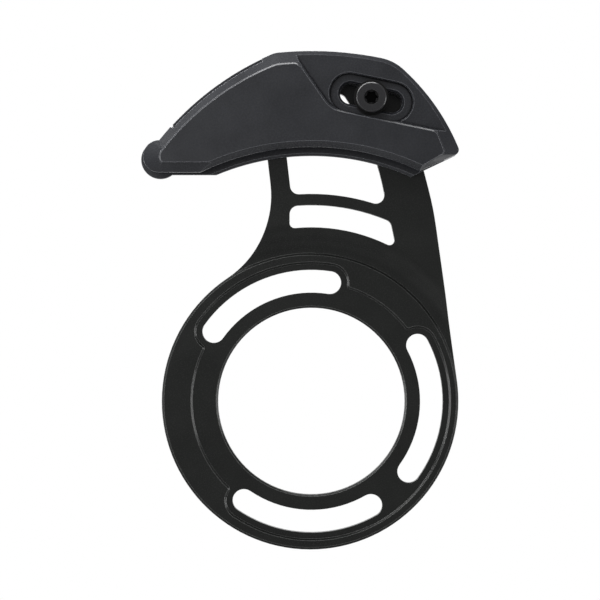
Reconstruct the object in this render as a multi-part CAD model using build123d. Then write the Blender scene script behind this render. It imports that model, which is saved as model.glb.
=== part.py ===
"""Bicycle chain guide: a slotted mounting plate whose arm carries a two-part guide, clamped by one bolt.

Every piece is drawn in side view, with x to the front of the bike, y up and z outboard, and the origin at
the centre of the bore on the mounting face. The last lines stand the pieces up, so that z is up.
"""
import os
from math import cos, hypot, radians, sin, sqrt, tan

from build123d import *

# Mounting ring, with slots for the frame's three tabs as start and end angles of their centre lines
bolt_circle_radius = 36.5
slot_width = 6.9
top_slot = (81.2, 144.5)
front_slot = (-35.8, 27.8)
bottom_slot = (-124.2, -60.3)
rim_width = 5.15
ring_radius = bolt_circle_radius + slot_width / 2 + rim_width
ring_center_x = -0.4
bore_radius = 28.4
bore_chamfer = 0.6
plate_thickness = 3.6
rim_step = 0.5
rim_chamfer = 0.7

# Sunk zone of the ring, round the bore and the slots
recess_depth = 0.6
recess_wall_lean = 45.0
recess_inset = 0.4
recess_radius = bolt_circle_radius - recess_inset
recess_margin = 1.85
recess_corner = 1.2

# Joggle that carries the arm outboard of the ring
joggle_gap = 2.5
joggle_radius = ring_radius + joggle_gap
joggle_slope = 44.0
joggle_height = 4.0
joggle_thickness = 3.5
joggle_blend = 5.2

# Guide: radii about the bore, set by the chainring that it arches over
outer_arch_radius = 76.5
guide_height = 28.6
guide_top_radius = outer_arch_radius + guide_height
inner_reach = 2.2
inner_arch_radius = outer_arch_radius - inner_reach
channel_depth = 6.5
channel_roof_radius = outer_arch_radius + channel_depth
top_flank_width = 3.4
panel_top_radius = guide_top_radius - top_flank_width
arch_flank_width = 1.3
panel_arch_radius = outer_arch_radius + arch_flank_width
crown_angle = 96.0
shoulder_angle = 76.6
heel_angle = 65.0
inner_heel_angle = 66.2

# Guide outline: nose, brow, front edge and tip, with their heights counted from the top of the arch
outer_nose_center = (-45.5, outer_arch_radius - 2.8)
outer_nose_radius = 4.8
inner_nose_center = (-45.6, outer_arch_radius - 3.4)
inner_nose_radius = 5.8
inner_floor_drop = 5.8
inner_floor_y = inner_arch_radius - inner_floor_drop
guide_brow = (-30.4, outer_arch_radius + 16.8)
guide_front = (35.4, outer_arch_radius + 14.4)
guide_tip = (44.4, outer_arch_radius - 1.7)
crown_blend = 8.0
shoulder_blend = 14.0
tip_blend = 1.6

# Front panel outline, on top of the flanks
panel_nose_low = (-44.9, outer_arch_radius - 4.7)
panel_nose_end = (-45.5, outer_arch_radius - 2.7)
panel_nose_top = (-44.6, outer_arch_radius - 0.9)
panel_brow = (-27.3, outer_arch_radius + 15.6)
panel_front = (32.5, outer_arch_radius + 12.8)
panel_tip = (39.9, outer_arch_radius - 1.9)
panel_tip_blend = 1.3
panel_middle = (0, outer_arch_radius + 5.0)

# Guide walls, measured outboard from the face that lies on the arm
inner_wall = 2.4
channel_width = 8.4
parting_height = 4.4
rim_height = 1.5
flank_rise = 1.9
panel_edge_height = 0.45
panel_edge_width = 0.45
mouth_chamfer = 0.8

# Facet sunk into the panel round the clamp
facet_depth = 1.7
facet_wall_lean = 22.0
facet_edge_offset = 5.2
facet_side_lean = 35.0
facet_corner_run = 10.8
facet_corner_blend = 6.5
facet_crown_blend = 3.6
facet_front_blend = 2.0

# Snap tab of the inner half, which shows along the brow
tab_start = (-41.4, outer_arch_radius + 5.4)
tab_end = (-14.8, outer_arch_radius + 26.0)
tab_thickness = 0.9
tab_play = 0.1

# Clamp: where it sits, how its slot runs, and its bolt, washer and nut
clamp_point = (17.8, outer_arch_radius + 14.7)
slide_tilt = -12.0
slot_centers = 12.6
outer_slot_width = 6.3
slot_flare = 0.65
inner_slot_width = 6.1
pocket_centers = 13.3
pocket_width = 11.8
pocket_flare = 0.35
pocket_depth = 2.0
thread_radius = 2.5
thread_play = 0.05
bolt_length = 16.0
bolt_head_radius = 4.5
bolt_head_height = 2.8
bolt_head_chamfer = 0.3
drive_mouth_radius = 2.25
drive_mouth_depth = 0.5
drive_radius = 1.95
drive_lobe_radius = 0.5
drive_groove_radius = 0.42
drive_depth = 2.2
washer_radius = 5.2
washer_thickness = 1.0
washer_bore_radius = 2.7
nut_key_centers = 4.0
nut_key_height = 2.2
nut_flange_width = 9.0
nut_flange_thickness = 1.6
nut_seat_play = 0.05
slide_play = 0.2

# Arm: a leaning strut, a wide web that curves up to the clamp, and bars concentric with the bore
head_margin = 6.1
arm_top_radius = hypot(*clamp_point) + head_margin
top_bar_width = 5.5
strut_lean = 6.6
strut_edge_x = -4.8
strut_width = 5.85
strut_root_blend = 30.0
web_lean = 8.0
web_straight = 47.2
web_edge_radius = 100.0
web_turn = 6.5
head_corner = 6.0
top_corner = 10.0
lower_window_gap = 5.2
lower_window_floor = joggle_radius + lower_window_gap
lower_window_height = 6.7
lower_window_top = lower_window_floor + lower_window_height
lower_window_left = -6.6
lower_window_end = (24.7, 51.0)
lower_window_lean = 12.0
crossbar_width = 3.4
upper_window_floor = lower_window_top + crossbar_width
web_inner_radius = 80.0
web_inner_reach = 23.4
web_inner_center = (web_inner_reach - web_inner_radius, outer_arch_radius - 28.3)
window_corner = 2.6
window_low_corner = 1.5

# Heights outboard of the mounting face
recess_floor = plate_thickness - recess_depth
arm_back = joggle_height
arm_face = joggle_height + plate_thickness
inner_face = arm_face + inner_wall
parting = arm_face + parting_height
channel_wall = inner_face + channel_width
flank_base = channel_wall + rim_height
panel_edge = flank_base + flank_rise
panel_face = panel_edge + panel_edge_height
facet_floor = panel_face - facet_depth
pocket_floor = facet_floor - pocket_depth
head_seat = pocket_floor + washer_thickness

far = 300.0


def polar(radius, angle):
    """Point at a radius and an angle in degrees about the bore."""
    return (radius * cos(radians(angle)), radius * sin(radians(angle)))


def arc_slot(span, width):
    """Round-ended slot along the bolt circle, between two angles."""
    start, end = span
    edges = [
        CenterArc((0, 0), bolt_circle_radius + width / 2, start, end - start),
        CenterArc((0, 0), bolt_circle_radius - width / 2, start, end - start),
        CenterArc(polar(bolt_circle_radius, end), width / 2, end, 180),
        CenterArc(polar(bolt_circle_radius, start), width / 2, start + 180, 180),
    ]
    return make_face(edges)


def right_of(point, lean):
    """Half-plane to the right of a line through a point, which leans back by an angle."""
    return Pos(*point) * Rot(0, 0, lean) * Rectangle(far, far, align=(Align.MIN, Align.CENTER))


def clamp_stadium(centers, width):
    """Straight slot outline along the slide, centred on the clamp."""
    return Pos(*clamp_point) * Rot(0, 0, slide_tilt) * SlotCenterToCenter(centers, width)


def flared_stadium(centers, width, flare, top):
    """Mouth of a straight slot, which spreads at half a right angle up to its top."""
    foot = Pos(0, 0, top - flare) * clamp_stadium(centers, width)
    return loft([foot, Pos(0, 0, top) * clamp_stadium(centers, width + 2 * flare)], ruled=True)


def slab(face, low, high):
    """Face raised into a solid between two heights."""
    return extrude(Pos(0, 0, low) * face, high - low)


def nearest(shape, point):
    """The outline's corner next to a point."""
    return shape.vertices().sort_by_distance(point)[0]


def arm_outline():
    """Outer outline of the arm, run down into the ring."""
    web_start = Vector(ring_center_x, 0) + Vector(*polar(ring_radius, web_lean))
    across = Vector(*polar(1, web_lean))
    along = Vector(*polar(1, web_lean + 90))
    web_bend = web_start + along * web_straight
    web_center = web_bend - across * web_edge_radius
    web_edge = CenterArc(web_center, web_edge_radius, web_lean, web_turn)
    web_end = web_edge @ 1
    leaving = web_edge % 1
    head_line = Line(web_end, web_end + leaving * arm_top_radius)
    left = Line((0, 0), (-far, 0))
    edges = [Line((0, 0), web_start), Line(web_start, web_bend), web_edge, head_line]
    edges += [Line(head_line @ 1, (-far, (head_line @ 1).Y)), Line((-far, (head_line @ 1).Y), left @ 1), left]
    outline = make_face(edges)
    outline = outline & Circle(arm_top_radius) & right_of((strut_edge_x, 0), strut_lean)
    head = nearest(outline, polar(arm_top_radius, 77))
    outline = fillet(head, head_corner)
    corner = nearest(outline, polar(arm_top_radius, 99))
    return fillet(corner, top_corner)


def plate_outline():
    """Ring and arm in one outline, with the strut blended into the ring."""
    outline = Pos(ring_center_x, 0) * Circle(ring_radius) + arm_outline()
    root = nearest(outline, polar(ring_radius, 103))
    return fillet(root, strut_root_blend)


def upper_window():
    """Window between the strut, the crossbar, the web and the top bar."""
    ring_band = Circle(arm_top_radius - top_bar_width) - Circle(upper_window_floor)
    web_side = Pos(*web_inner_center) * Circle(web_inner_radius)
    strut_inner = (strut_edge_x + strut_width / cos(radians(strut_lean)), 0)
    window = ring_band & web_side & right_of(strut_inner, strut_lean)
    return fillet(window.vertices(), window_corner)


def lower_window():
    """Window between the crossbar and the joggle."""
    ring_band = Circle(lower_window_top) - Circle(lower_window_floor)
    window = ring_band & right_of((lower_window_left, 0), 0)
    window = window - right_of(lower_window_end, lower_window_lean)
    window = window & Pos(0, lower_window_floor) * Rectangle(far, lower_window_floor * 2)
    by_radius = window.vertices().sort_by_distance((0, 0))
    window = fillet(by_radius[:2], window_low_corner)
    upper = window.vertices().sort_by_distance((0, 0))[-2:]
    return fillet(upper, window_corner)


def recess_outline(grow):
    """Sunk zone round the bore, swept out round the slots and grown by the lean of its wall."""
    width = slot_width + 2 * (recess_margin + grow)
    outline = Circle(recess_radius + grow) + arc_slot(top_slot, width)
    outline += arc_slot((bottom_slot[0], front_slot[1]), width)
    steps = outline.vertices().sort_by_distance((0, 0))[:4]
    return fillet(steps, recess_corner - grow)


def joggled_sheet():
    """Sheet turned about the ring's centre: flat with a stepped rim at the ring, then raised to the arm."""
    rise = tan(radians(joggle_slope))
    root = plate_thickness - rim_step
    foot = (joggle_radius, root)
    crest = (joggle_radius + (arm_face - root) / rise, arm_face)
    back_foot_radius = joggle_radius - root / rise + joggle_thickness / sin(radians(joggle_slope))
    back_foot = (back_foot_radius, 0)
    back_crest = (back_foot_radius + arm_back / rise, arm_back)
    rim = [(ring_radius, root), (ring_radius - rim_chamfer, plate_thickness)]
    outer = [(far, arm_back), (far, arm_face)]
    points = [(0, 0), back_foot, back_crest, *outer, crest, foot, *rim, (0, plate_thickness)]
    section = make_face(Polyline(*points, close=True))
    for point in (foot, crest, back_foot, back_crest):
        section = fillet(nearest(section, point), joggle_blend)
    return Pos(ring_center_x, 0) * revolve(Plane.XZ * section, Axis.Z)


def make_back_plate():
    """Ring, joggle and arm with their slots, windows and recess."""
    key_hole = clamp_stadium(nut_key_centers, inner_slot_width - 2 * slide_play + 2 * nut_seat_play)
    outline = plate_outline() - upper_window() - lower_window() - key_hole - Circle(bore_radius)
    for span in (top_slot, front_slot, bottom_slot):
        outline -= arc_slot(span, slot_width)
    plate = slab(outline, 0, arm_face) & joggled_sheet()
    recess = recess_outline(0)
    recess_mouth = recess_outline(recess_depth * tan(radians(recess_wall_lean)))
    plate -= loft([Pos(0, 0, recess_floor) * recess, Pos(0, 0, plate_thickness) * recess_mouth], ruled=True)
    bore_edge = plate.edges().filter_by(GeomType.CIRCLE).sort_by_distance((0, 0, plate_thickness))[0]
    return chamfer(bore_edge, bore_chamfer)


def guide_outline(nose, brow, top_radius, front, tip, arch_radius, heel, tip_radius):
    """Side outline of the guide, from the nose over the crown to the tip and back along the arch."""
    nose_low, nose_end, nose_top = nose
    crown = polar(top_radius, crown_angle)
    top = polar(top_radius, (crown_angle + shoulder_angle) / 2)
    shoulder = polar(top_radius, shoulder_angle)
    heel_point = polar(arch_radius, heel)
    toe = (-sqrt(arch_radius**2 - nose_low[1] ** 2), nose_low[1])
    edges = [
        ThreePointArc(nose_low, nose_end, nose_top),
        ThreePointArc(nose_top, brow, crown),
        ThreePointArc(crown, top, shoulder),
        ThreePointArc(shoulder, front, tip),
        Line(tip, heel_point),
        ThreePointArc(heel_point, (0, arch_radius), toe),
        Line(toe, nose_low),
    ]
    outline = make_face(edges)
    for corner, radius in ((crown, crown_blend), (shoulder, shoulder_blend), (tip, tip_radius)):
        outline = fillet(nearest(outline, corner), radius)
    return outline


def outer_outline():
    """Outline of the outer half below its flanks."""
    x, y = outer_nose_center
    radius = outer_nose_radius
    nose = ((x, y - radius), (x - radius, y), (x, y + radius))
    return guide_outline(nose, guide_brow, guide_top_radius, guide_front, guide_tip, outer_arch_radius,
                         heel_angle, tip_blend)


def inner_outline():
    """Outline of the inner half, which reaches lower and has a rounder nose."""
    x, y = inner_nose_center
    radius = inner_nose_radius
    nose_low = (x + sqrt(radius**2 - (y - inner_floor_y) ** 2), inner_floor_y)
    nose = (nose_low, (x - radius, y), (x, y + radius))
    return guide_outline(nose, guide_brow, guide_top_radius, guide_front, guide_tip, inner_arch_radius,
                         inner_heel_angle, tip_blend)


def towards_middle(point, step):
    """Point of the panel's outline, moved towards the panel's middle."""
    moved = Vector(*point) + (Vector(*panel_middle) - Vector(*point)).normalized() * step
    return (moved.X, moved.Y)


def panel_outline(inset):
    """Outline of the flat front before the facet is sunk into it, drawn in by an inset."""
    nose = [towards_middle(point, inset) for point in (panel_nose_low, panel_nose_end, panel_nose_top)]
    brow, front, tip = [towards_middle(point, inset) for point in (panel_brow, panel_front, panel_tip)]
    return guide_outline(nose, brow, panel_top_radius - inset, front, tip, panel_arch_radius + inset,
                         heel_angle, panel_tip_blend - inset)


def chain_space():
    """Side outline of the chain's channel: round over the chainring, level towards the nose."""
    level = Pos(-far / 2, channel_roof_radius / 2) * Rectangle(far, channel_roof_radius)
    return Circle(channel_roof_radius) + level


def facet_outline():
    """Sunk corner of the panel at its floor: one edge along the slide, one leaning up to the crown."""
    low_edge = Pos(0, -facet_edge_offset) * Rectangle(far, far, align=(Align.CENTER, Align.MIN))
    side = right_of((-facet_corner_run, -facet_edge_offset), facet_side_lean - slide_tilt)
    outline = Pos(*clamp_point) * Rot(0, 0, slide_tilt) * (low_edge & side)
    return fillet(nearest(outline, clamp_point), facet_corner_blend)


def panel_top_outline(inset):
    """Flat front drawn in by an inset: the panel less the facet, rounded where their edges meet."""
    panel = panel_outline(inset)
    wall_run = (panel_edge - facet_floor) * tan(radians(facet_wall_lean))
    facet = offset(facet_outline(), wall_run + inset)
    outline = panel - facet
    rims = (panel.wire(), facet.wire())
    meeting = [end for end in outline.vertices() if max(rim.distance_to(end) for rim in rims) < 0.001]
    crown_end, front_end = sorted(meeting, key=lambda end: end.X)
    outline = fillet(crown_end, facet_crown_blend - inset)
    return fillet(nearest(outline, front_end), facet_front_blend - inset)


def tab_strip(thickness, play):
    """Strip along the brow between the two ends of the snap tab."""
    nose_top = (outer_nose_center[0], outer_nose_center[1] + outer_nose_radius)
    brow = ThreePointArc(nose_top, guide_brow, polar(guide_top_radius, crown_angle))
    center = Vector(brow.arc_center)
    band = Circle(brow.radius) - Circle(brow.radius - thickness)
    low = Vector(*tab_start) - center
    high = Vector(*tab_end) - center
    wedge = make_face(Polyline(center, center + low * 2, center + high * 2, close=True))
    strip = (Pos(center) * band) & wedge
    return offset(strip, -play) if play else strip


def make_outer_guide():
    """Outer half: flat panel on sloped flanks, sunk facet, clamp pocket and the channel's outer wall."""
    base = outer_outline()
    guide = slab(base, parting, flank_base)
    guide += loft([Pos(0, 0, flank_base) * base, Pos(0, 0, panel_edge) * panel_outline(0)], ruled=True)
    guide -= slab(chain_space(), parting, channel_wall)
    guide -= extrude(Pos(0, 0, facet_floor) * facet_outline(), facet_depth, taper=-facet_wall_lean)
    panel_foot = Pos(0, 0, panel_edge) * panel_top_outline(0)
    guide += loft([panel_foot, Pos(0, 0, panel_face) * panel_top_outline(panel_edge_width)], ruled=True)
    guide -= slab(clamp_stadium(pocket_centers, pocket_width), pocket_floor, 2 * panel_face)
    pocket_mouth = flared_stadium(pocket_centers, pocket_width, pocket_flare, facet_floor)
    guide -= pocket_mouth & slab(facet_outline(), pocket_floor, panel_face)
    guide -= slab(clamp_stadium(slot_centers, outer_slot_width), parting, panel_face)
    guide -= flared_stadium(slot_centers, outer_slot_width, slot_flare, pocket_floor)
    return guide - slab(tab_strip(tab_thickness, 0), parting, panel_face)


def make_inner_guide():
    """Inner half: the channel's back wall, the block above the channel and the snap tab."""
    wall = slab(inner_outline(), arm_face, inner_face)
    mouth = wall.edges().group_by(Axis.Z)[-1].sort_by_distance((0, 0, inner_face))[0]
    wall = chamfer(mouth, mouth_chamfer)
    block = slab(outer_outline() - chain_space(), inner_face, parting)
    tab = slab(tab_strip(tab_thickness, tab_play) - chain_space(), inner_face, flank_base)
    guide = wall + block + tab
    return guide - slab(clamp_stadium(slot_centers, inner_slot_width), arm_face, parting)


def make_clamp_nut():
    """Nut with an oblong key that passes through the arm and steers the inner half's slot."""
    key_width = inner_slot_width - 2 * slide_play
    key = slab(clamp_stadium(nut_key_centers, key_width), arm_back, arm_face + nut_key_height)
    flange = slab(clamp_stadium(nut_key_centers, nut_flange_width), arm_back - nut_flange_thickness, arm_back)
    bore = slab(Pos(*clamp_point) * Circle(thread_radius + thread_play), 0, panel_face)
    return key + flange - bore


def drive_outline():
    """Six-lobe recess: a hexagon of round lobes with grooves between them."""
    core = Circle(drive_radius - drive_lobe_radius / 2)
    for turn in range(6):
        core += Rot(0, 0, 60 * turn) * Pos(drive_radius - drive_lobe_radius, 0) * Circle(drive_lobe_radius)
        core -= Rot(0, 0, 60 * turn + 30) * Pos(drive_radius, 0) * Circle(drive_groove_radius)
    return core


def make_clamp_bolt():
    """Low-headed bolt with a six-lobe recess under a round mouth."""
    head = Cylinder(bolt_head_radius, bolt_head_height, align=(Align.CENTER, Align.CENTER, Align.MIN))
    head = chamfer(head.edges().group_by(Axis.Z)[-1], bolt_head_chamfer)
    shank = Cylinder(thread_radius, bolt_length, align=(Align.CENTER, Align.CENTER, Align.MAX))
    tip = shank.edges().group_by(Axis.Z)[0]
    bolt = head + chamfer(tip, bolt_head_chamfer)
    bolt -= slab(drive_outline(), bolt_head_height - drive_depth, bolt_head_height)
    bolt -= slab(Circle(drive_mouth_radius), bolt_head_height - drive_mouth_depth, bolt_head_height)
    return Pos(*clamp_point, head_seat) * bolt


def make_clamp_washer():
    """Flat washer under the bolt's head, on the pocket's floor."""
    ring = Circle(washer_radius) - Circle(washer_bore_radius)
    return slab(Pos(*clamp_point) * ring, pocket_floor, head_seat)


pieces = {
    "back_plate": make_back_plate(),
    "outer_guide": make_outer_guide(),
    "inner_guide": make_inner_guide(),
    "clamp_nut": make_clamp_nut(),
    "clamp_bolt": make_clamp_bolt(),
    "clamp_washer": make_clamp_washer(),
}

os.makedirs("parts", exist_ok=True)
for name, piece in pieces.items():
    export_step(Plane.XZ * piece, f"parts/{name}.step")
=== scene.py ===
"""Looks of a bicycle chain guide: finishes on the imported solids, a studio and the photograph's camera."""

import math

import bpy
from mathutils import Matrix, Vector


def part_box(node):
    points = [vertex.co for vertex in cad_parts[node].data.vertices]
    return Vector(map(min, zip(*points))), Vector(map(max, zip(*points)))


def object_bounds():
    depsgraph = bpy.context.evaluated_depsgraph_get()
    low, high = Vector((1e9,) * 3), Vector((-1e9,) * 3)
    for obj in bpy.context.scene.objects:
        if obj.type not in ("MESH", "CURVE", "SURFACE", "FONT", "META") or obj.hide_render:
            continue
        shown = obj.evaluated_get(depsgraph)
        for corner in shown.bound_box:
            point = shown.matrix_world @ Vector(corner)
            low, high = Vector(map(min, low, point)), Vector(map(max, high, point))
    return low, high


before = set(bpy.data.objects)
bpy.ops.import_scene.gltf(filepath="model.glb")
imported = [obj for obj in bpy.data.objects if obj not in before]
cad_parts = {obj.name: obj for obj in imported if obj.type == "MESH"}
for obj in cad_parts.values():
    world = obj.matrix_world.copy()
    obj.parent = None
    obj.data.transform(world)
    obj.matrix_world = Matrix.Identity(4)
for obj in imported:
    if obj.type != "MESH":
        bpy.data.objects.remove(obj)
cad_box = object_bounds()
mm = 0.001


def linear(code):
    """Linear colour of an sRGB hex value."""
    levels = [int(code[i:i + 2], 16) / 255 for i in (1, 3, 5)]
    return tuple(v / 12.92 if v <= 0.04045 else ((v + 0.055) / 1.055) ** 2.4 for v in levels) + (1.0,)


def add(tree, kind, links=(), **settings):
    """Adds a node. Settings are its properties or socket values, links are pairs of a socket and a source."""
    node = tree.nodes.new(kind)
    for name, value in settings.items():
        if hasattr(node, name):
            setattr(node, name, value)
        else:
            node.inputs[name.replace("_", " ")].default_value = value
    for socket, source in links:
        tree.links.new(source, node.inputs[socket])
    return node


def new_material(name):
    """Empty material, its node tree and its output."""
    material = bpy.data.materials.new(name)
    material.use_nodes = True
    tree = material.node_tree
    tree.nodes.clear()
    return material, tree, tree.nodes.new("ShaderNodeOutputMaterial")


# What the finishes share. Noise values lie mostly inside noise_band. The painted highlight on an edge starts
# and is full where the cosine between the face and its rounded edge is edge_lean. The painted shade in a
# crease starts and is full where the share of open surroundings is crease_open.
cloud_width = 9 * mm
noise_band = (0.3, 0.7)
grain_strength = 0.35
edge_lean = (0.998, 0.93)
edge_polish = 0.65
crease_reach = 0.8 * mm
crease_open = (0.92, 0.6)
crease_shade = "#060606"


def grained_finish(name, tones, edge_highlight, grain, relief, edge, rough, specular, metallic=0.0):
    """Satin finish: cloudy tone, fine grain, rounded edges with a painted highlight, painted shade in the
    creases.

    tones are the darkest and the lightest, and the colour after them is the painted highlight on the edges.
    grain is a grain's width, relief its height and edge the radius of the edges, in mm. rough is the lowest
    and the highest roughness.
    """
    material, tree, output = new_material(name)
    place = add(tree, "ShaderNodeTexCoord").outputs["Object"]
    cloud = add(tree, "ShaderNodeTexNoise", [("Vector", place)], Scale=1 / cloud_width, Detail=3.0)
    ramp = add(tree, "ShaderNodeValToRGB", [("Fac", cloud.outputs["Fac"])])
    for stop, position, colour in zip(ramp.color_ramp.elements, noise_band, tones):
        stop.position = position
        stop.color = linear(colour)
    noise = add(tree, "ShaderNodeTexNoise", [("Vector", place)], Scale=1 / (grain * mm), Detail=2.0)
    speckle = noise.outputs["Fac"]
    gloss = add(
        tree, "ShaderNodeMapRange", [("Value", speckle)],
        From_Min=noise_band[0], From_Max=noise_band[1], To_Min=rough[0], To_Max=rough[1],
    )

    # Creases are the places that the solid itself shelters, where shade is painted, and the edges with a
    # painted highlight are the bent places outside them
    shelter = add(tree, "ShaderNodeAmbientOcclusion", samples=8, only_local=True, Distance=crease_reach)
    crease = add(
        tree, "ShaderNodeMapRange", [("Value", shelter.outputs["AO"])],
        From_Min=crease_open[0], From_Max=crease_open[1],
    ).outputs["Result"]
    rounded = add(tree, "ShaderNodeBevel", samples=6, Radius=edge * mm).outputs["Normal"]
    face = add(tree, "ShaderNodeNewGeometry").outputs["Normal"]
    lean = add(tree, "ShaderNodeVectorMath", [(0, rounded), (1, face)], operation="DOT_PRODUCT")
    bent = add(
        tree, "ShaderNodeMapRange", [("Value", lean.outputs["Value"])],
        From_Min=edge_lean[0], From_Max=edge_lean[1],
    )
    rim = add(
        tree, "ShaderNodeMath", [(0, bent.outputs["Result"]), (1, crease)],
        operation="SUBTRACT", use_clamp=True,
    ).outputs["Value"]

    # Painted highlight: the bent edges are painted a lighter colour
    highlighted = add(
        tree, "ShaderNodeMixRGB", [("Fac", rim), ("Color1", ramp.outputs["Color"])], Color2=linear(edge_highlight),
    )
    # Painted shade: the creases are painted near black
    crease_shaded = add(
        tree, "ShaderNodeMixRGB", [("Fac", crease), ("Color1", highlighted.outputs["Color"])],
        Color2=linear(crease_shade),
    )
    polished = add(
        tree, "ShaderNodeMapRange", [("Value", rim), ("To Min", gloss.outputs["Result"])],
        To_Max=rough[0] * edge_polish,
    )
    bump = add(
        tree, "ShaderNodeBump", [("Height", speckle), ("Normal", rounded)],
        Strength=grain_strength, Distance=relief * mm,
    )
    surface = add(
        tree, "ShaderNodeBsdfPrincipled",
        [
            ("Base Color", crease_shaded.outputs["Color"]),
            ("Roughness", polished.outputs["Result"]),
            ("Normal", bump.outputs["Normal"]),
        ],
        Metallic=metallic, Specular_IOR_Level=specular,
    )
    if not metallic:
        # The painted shade in the creases is a black metal, so that it has no mirror image of its own
        tree.links.new(crease, surface.inputs["Metallic"])
    tree.links.new(surface.outputs["BSDF"], output.inputs["Surface"])
    return material


# The real grains are about 0.1 mm wide. They are drawn three to five times as coarse, so that they show.

# Bead-blasted and black-anodised aluminium: even satin black with a trace of green, edges painted a little
# brighter as a highlight
anodised = grained_finish(
    "black_anodised_aluminium", tones=("#121312", "#171817"), edge_highlight="#6c6d6c",
    grain=0.35, relief=0.003, edge=0.18, rough=(0.22, 0.3), specular=0.125,
)

# Glass-filled nylon from a spark-eroded mould: neutral dark grey with a blue trace and a fine matt grain
nylon = grained_finish(
    "moulded_glass_filled_nylon", tones=("#1e1f22", "#26272a"), edge_highlight="#84858a",
    grain=0.5, relief=0.004, edge=0.16, rough=(0.23, 0.31), specular=0.145,
)

# Black-oxide steel: an oiled, slightly glossy black on machined faces
oxide = grained_finish(
    "black_oxide_steel", tones=("#151517", "#1d1d1f"), edge_highlight="#505052",
    grain=0.3, relief=0.004, edge=0.1, rough=(0.26, 0.34), specular=0.2,
)

# Black phosphated steel, painted a dead near-black that hardly mirrors, as the shade under the bolt's head
phosphate_and_shade = grained_finish(
    "black_phosphated_steel_and_painted_shade", tones=("#0b0b0b", "#101010"), edge_highlight="#181818",
    grain=0.3, relief=0.004, edge=0.1, rough=(0.55, 0.65), specular=0.1,
)

# Zinc-plated steel: pale grey metal with a soft sheen
zinc = grained_finish(
    "zinc_plated_steel", tones=("#a9abaa", "#c2c3bf"), edge_highlight="#cfd0cd",
    grain=0.4, relief=0.006, edge=0.15, rough=(0.3, 0.42), specular=0.5, metallic=1.0,
)

finishes = {
    "back_plate": anodised,
    "outer_guide": nylon,
    "inner_guide": nylon,
    "clamp_nut": zinc,
    "clamp_bolt": oxide,
    "clamp_washer": phosphate_and_shade,
}
for node, finish in finishes.items():
    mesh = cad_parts[node].data
    mesh.materials.clear()
    mesh.materials.append(finish)

# Drive recess of the bolt: painted shade that turns blacker with depth below the head's face, as a black
# metal without a mirror image
recess_radius = 2.3 * mm
recess_depth = (0.1 * mm, 0.75 * mm)
bolt_low, bolt_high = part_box("clamp_bolt")
tree = oxide.node_tree
surface = next(node for node in tree.nodes if node.type == "BSDF_PRINCIPLED")
tone = surface.inputs["Base Color"].links[0].from_socket
place = add(tree, "ShaderNodeTexCoord").outputs["Object"]
from_head = add(tree, "ShaderNodeVectorMath", [(0, place)], operation="SUBTRACT")
bolt_middle = (bolt_low + bolt_high) / 2
from_head.inputs[1].default_value = (bolt_middle.x, bolt_low.y, bolt_middle.z)
across = add(tree, "ShaderNodeVectorMath", [(0, from_head.outputs["Vector"])], operation="MULTIPLY")
across.inputs[1].default_value = (1, 0, 1)
radius = add(tree, "ShaderNodeVectorMath", [(0, across.outputs["Vector"])], operation="LENGTH")
near_axis = add(tree, "ShaderNodeMath", [(0, radius.outputs["Value"])], operation="LESS_THAN")
near_axis.inputs[1].default_value = recess_radius
parts = add(tree, "ShaderNodeSeparateXYZ", [("Vector", from_head.outputs["Vector"])])
depth = add(
    tree, "ShaderNodeMapRange", [("Value", parts.outputs["Y"])],
    From_Min=recess_depth[0], From_Max=recess_depth[1],
)
recess = add(
    tree, "ShaderNodeMath", [(0, near_axis.outputs["Value"]), (1, depth.outputs["Result"])],
    operation="MULTIPLY",
).outputs["Value"]
recess_shaded = add(tree, "ShaderNodeMixRGB", [("Fac", recess), ("Color1", tone)], Color2=linear("#050505"))
tree.links.new(recess_shaded.outputs["Color"], surface.inputs["Base Color"])
tree.links.new(recess, surface.inputs["Metallic"])


def shows_background(tree):
    """Socket that is 1 for a ray from the camera, a mirroring surface or a clear one."""
    rays = add(tree, "ShaderNodeLightPath").outputs
    shown = rays["Is Camera Ray"]
    for ray in ("Is Glossy Ray", "Is Transmission Ray"):
        either = add(tree, "ShaderNodeMath", [(0, shown), (1, rays[ray])], operation="MAXIMUM")
        shown = either.outputs["Value"]
    return shown


# Floor below the view, pale and plain, as a square of twice floor_reach
floor_drop = 120 * mm
floor_reach = 6.0
low, high = (Vector(corner) for corner in cad_box)
floor_level = low.z - floor_drop
signs = [(-1, -1), (1, -1), (1, 1), (-1, 1)]
corners = [(x * floor_reach, y * floor_reach, floor_level) for x, y in signs]
floor_mesh = bpy.data.meshes.new("floor")
floor_mesh.from_pydata(corners, [], [(0, 1, 2, 3)])
floor = bpy.data.objects.new("floor", floor_mesh)
bpy.context.scene.collection.objects.link(floor)

# Matt painted board: pale grey near the part, so it holds a shadow, and white like the background far off.
# It is clear from below, so that the part can be seen from there too.
fade_start = 0.25
fade_end = 0.75
board, tree, output = new_material("matt_painted_board")
place = add(tree, "ShaderNodeTexCoord").outputs["Object"]
reach = add(tree, "ShaderNodeVectorMath", [(0, place)], operation="LENGTH")
fade = add(
    tree, "ShaderNodeMapRange", [("Value", reach.outputs["Value"])],
    interpolation_type="SMOOTHSTEP", From_Min=fade_start, From_Max=fade_end,
)
far_off = add(
    tree, "ShaderNodeMath", [(0, fade.outputs["Result"]), (1, shows_background(tree))], operation="MULTIPLY",
)
paint = add(tree, "ShaderNodeBsdfDiffuse", Color=linear("#b4b4b4"))
white = add(tree, "ShaderNodeEmission", Strength=1.0)
top = add(
    tree, "ShaderNodeMixShader",
    [(0, far_off.outputs["Value"]), (1, paint.outputs["BSDF"]), (2, white.outputs["Emission"])],
)
underside = add(tree, "ShaderNodeNewGeometry").outputs["Backfacing"]
clear = add(tree, "ShaderNodeBsdfTransparent")
one_sided = add(
    tree, "ShaderNodeMixShader", [(0, underside), (1, top.outputs["Shader"]), (2, clear.outputs["BSDF"])],
)
tree.links.new(one_sided.outputs["Shader"], output.inputs["Surface"])
floor_mesh.materials.append(board)

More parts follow.
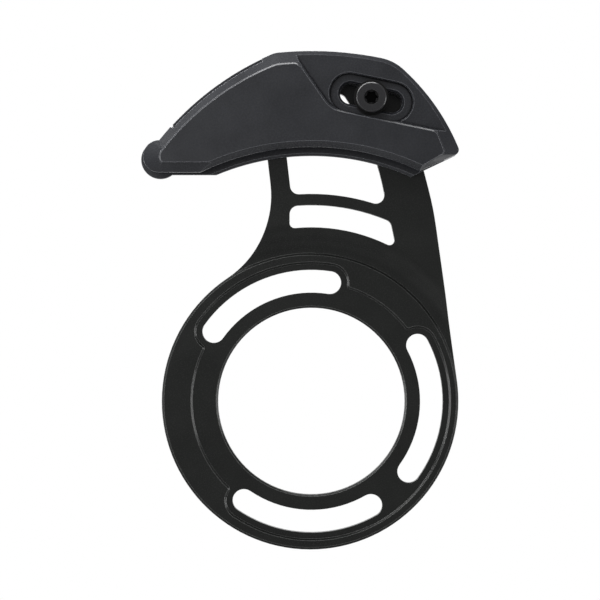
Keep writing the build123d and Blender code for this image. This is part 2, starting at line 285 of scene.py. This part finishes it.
# White background for what is seen or mirrored, and a dimmer grey as the studio's fill light
fill_level = 0.4
world = bpy.data.worlds.new("studio")
bpy.context.scene.world = world
world.use_nodes = True
tree = world.node_tree
tree.nodes.clear()
output = tree.nodes.new("ShaderNodeOutputWorld")
fill = add(tree, "ShaderNodeBackground", Color=linear("#ffffff"), Strength=fill_level)
backdrop = add(tree, "ShaderNodeBackground", Color=linear("#ffffff"), Strength=1.0)
mixed = add(
    tree, "ShaderNodeMixShader",
    [(0, shows_background(tree)), (1, fill.outputs["Background"]), (2, backdrop.outputs["Background"])],
)
tree.links.new(mixed.outputs["Shader"], output.inputs["Surface"])


def softbox(name, place, aim, size, power, along=(0, 0, 1)):
    """Rectangular studio light that faces a point, with its second side along a direction."""
    lamp = bpy.data.lights.new(name, "AREA")
    lamp.shape = "RECTANGLE"
    lamp.size, lamp.size_y = size
    lamp.energy = power
    back = (Vector(place) - Vector(aim)).normalized()
    side = Vector(along).cross(back).normalized()
    turn = Matrix((side, back.cross(side), back)).transposed()
    holder = bpy.data.objects.new(name, lamp)
    holder.matrix_world = Matrix.LocRotScale(Vector(place), turn, None)
    holder.visible_camera = False
    bpy.context.scene.collection.objects.link(holder)


# A high key, a weak card at the left, a fill behind and a small kicker for the heel, in metres and watts
guide_middle = (-0.03, 0, 0.08)
softbox("key_above", place=(-0.1, -0.36, 0.43), aim=guide_middle, size=(0.24, 0.24), power=1.45)
softbox("card_left", place=(-0.19, -0.4, 0.2), aim=guide_middle, size=(0.3, 0.3), power=0.7)
softbox("fill_behind", place=(0.25, 0.6, 0.4), aim=(0, 0, 0.03), size=(0.5, 0.5), power=2.0)
softbox(
    "kicker_lower_right", place=(0.17, 0.02, -0.13), aim=(0.04, -0.02, 0.075), size=(0.1, 0.1), power=0.12,
    along=(0, 1, 0),
)

# Strips round the part that draw its edges. Each has its angle from the right in degrees, its way towards the
# viewer, its width and its power.
strip_reach = 0.6
strip_length = 0.46
strips = {
    "strip_above": (92, -0.08, 0.18, 6.0),
    "strip_upper_left": (135, -0.01, 0.08, 3.6),
    "strip_left": (186, 0.04, 0.06, 2.4),
    "strip_right": (-8, 0.05, 0.06, 2.2),
}
middle = (low + high) / 2
for name, (angle, forwards, width, power) in strips.items():
    outwards = Vector((math.cos(math.radians(angle)), 0, math.sin(math.radians(angle))))
    place = middle + outwards * strip_reach + Vector((0, -forwards, 0))
    round_part = Vector((0, 1, 0)).cross(outwards)
    softbox(name, place, aim=middle, size=(width, strip_length), power=power, along=round_part)

# The photograph's camera: square on, 0.9 m in front of the ring, with a frame of 600 pixels
camera_distance = 900 * mm
ring_front = -3.6 * mm
view_middle = (-3.47 * mm, 30.78 * mm)
view_width = 600 * 0.3039 * mm
sensor_width = 36.0
camera = bpy.data.cameras.new("photo_camera")
camera.sensor_fit = "HORIZONTAL"
camera.sensor_width = sensor_width
camera.lens = sensor_width * camera_distance / view_width
camera.clip_start = 0.01
holder = bpy.data.objects.new("photo_camera", camera)
holder.location = (view_middle[0], ring_front - camera_distance, view_middle[1])
holder.rotation_euler = (math.radians(90), 0, 0)
bpy.context.scene.collection.objects.link(holder)
bpy.context.scene.camera = holder

bpy.context.scene.view_settings.view_transform = "Standard"
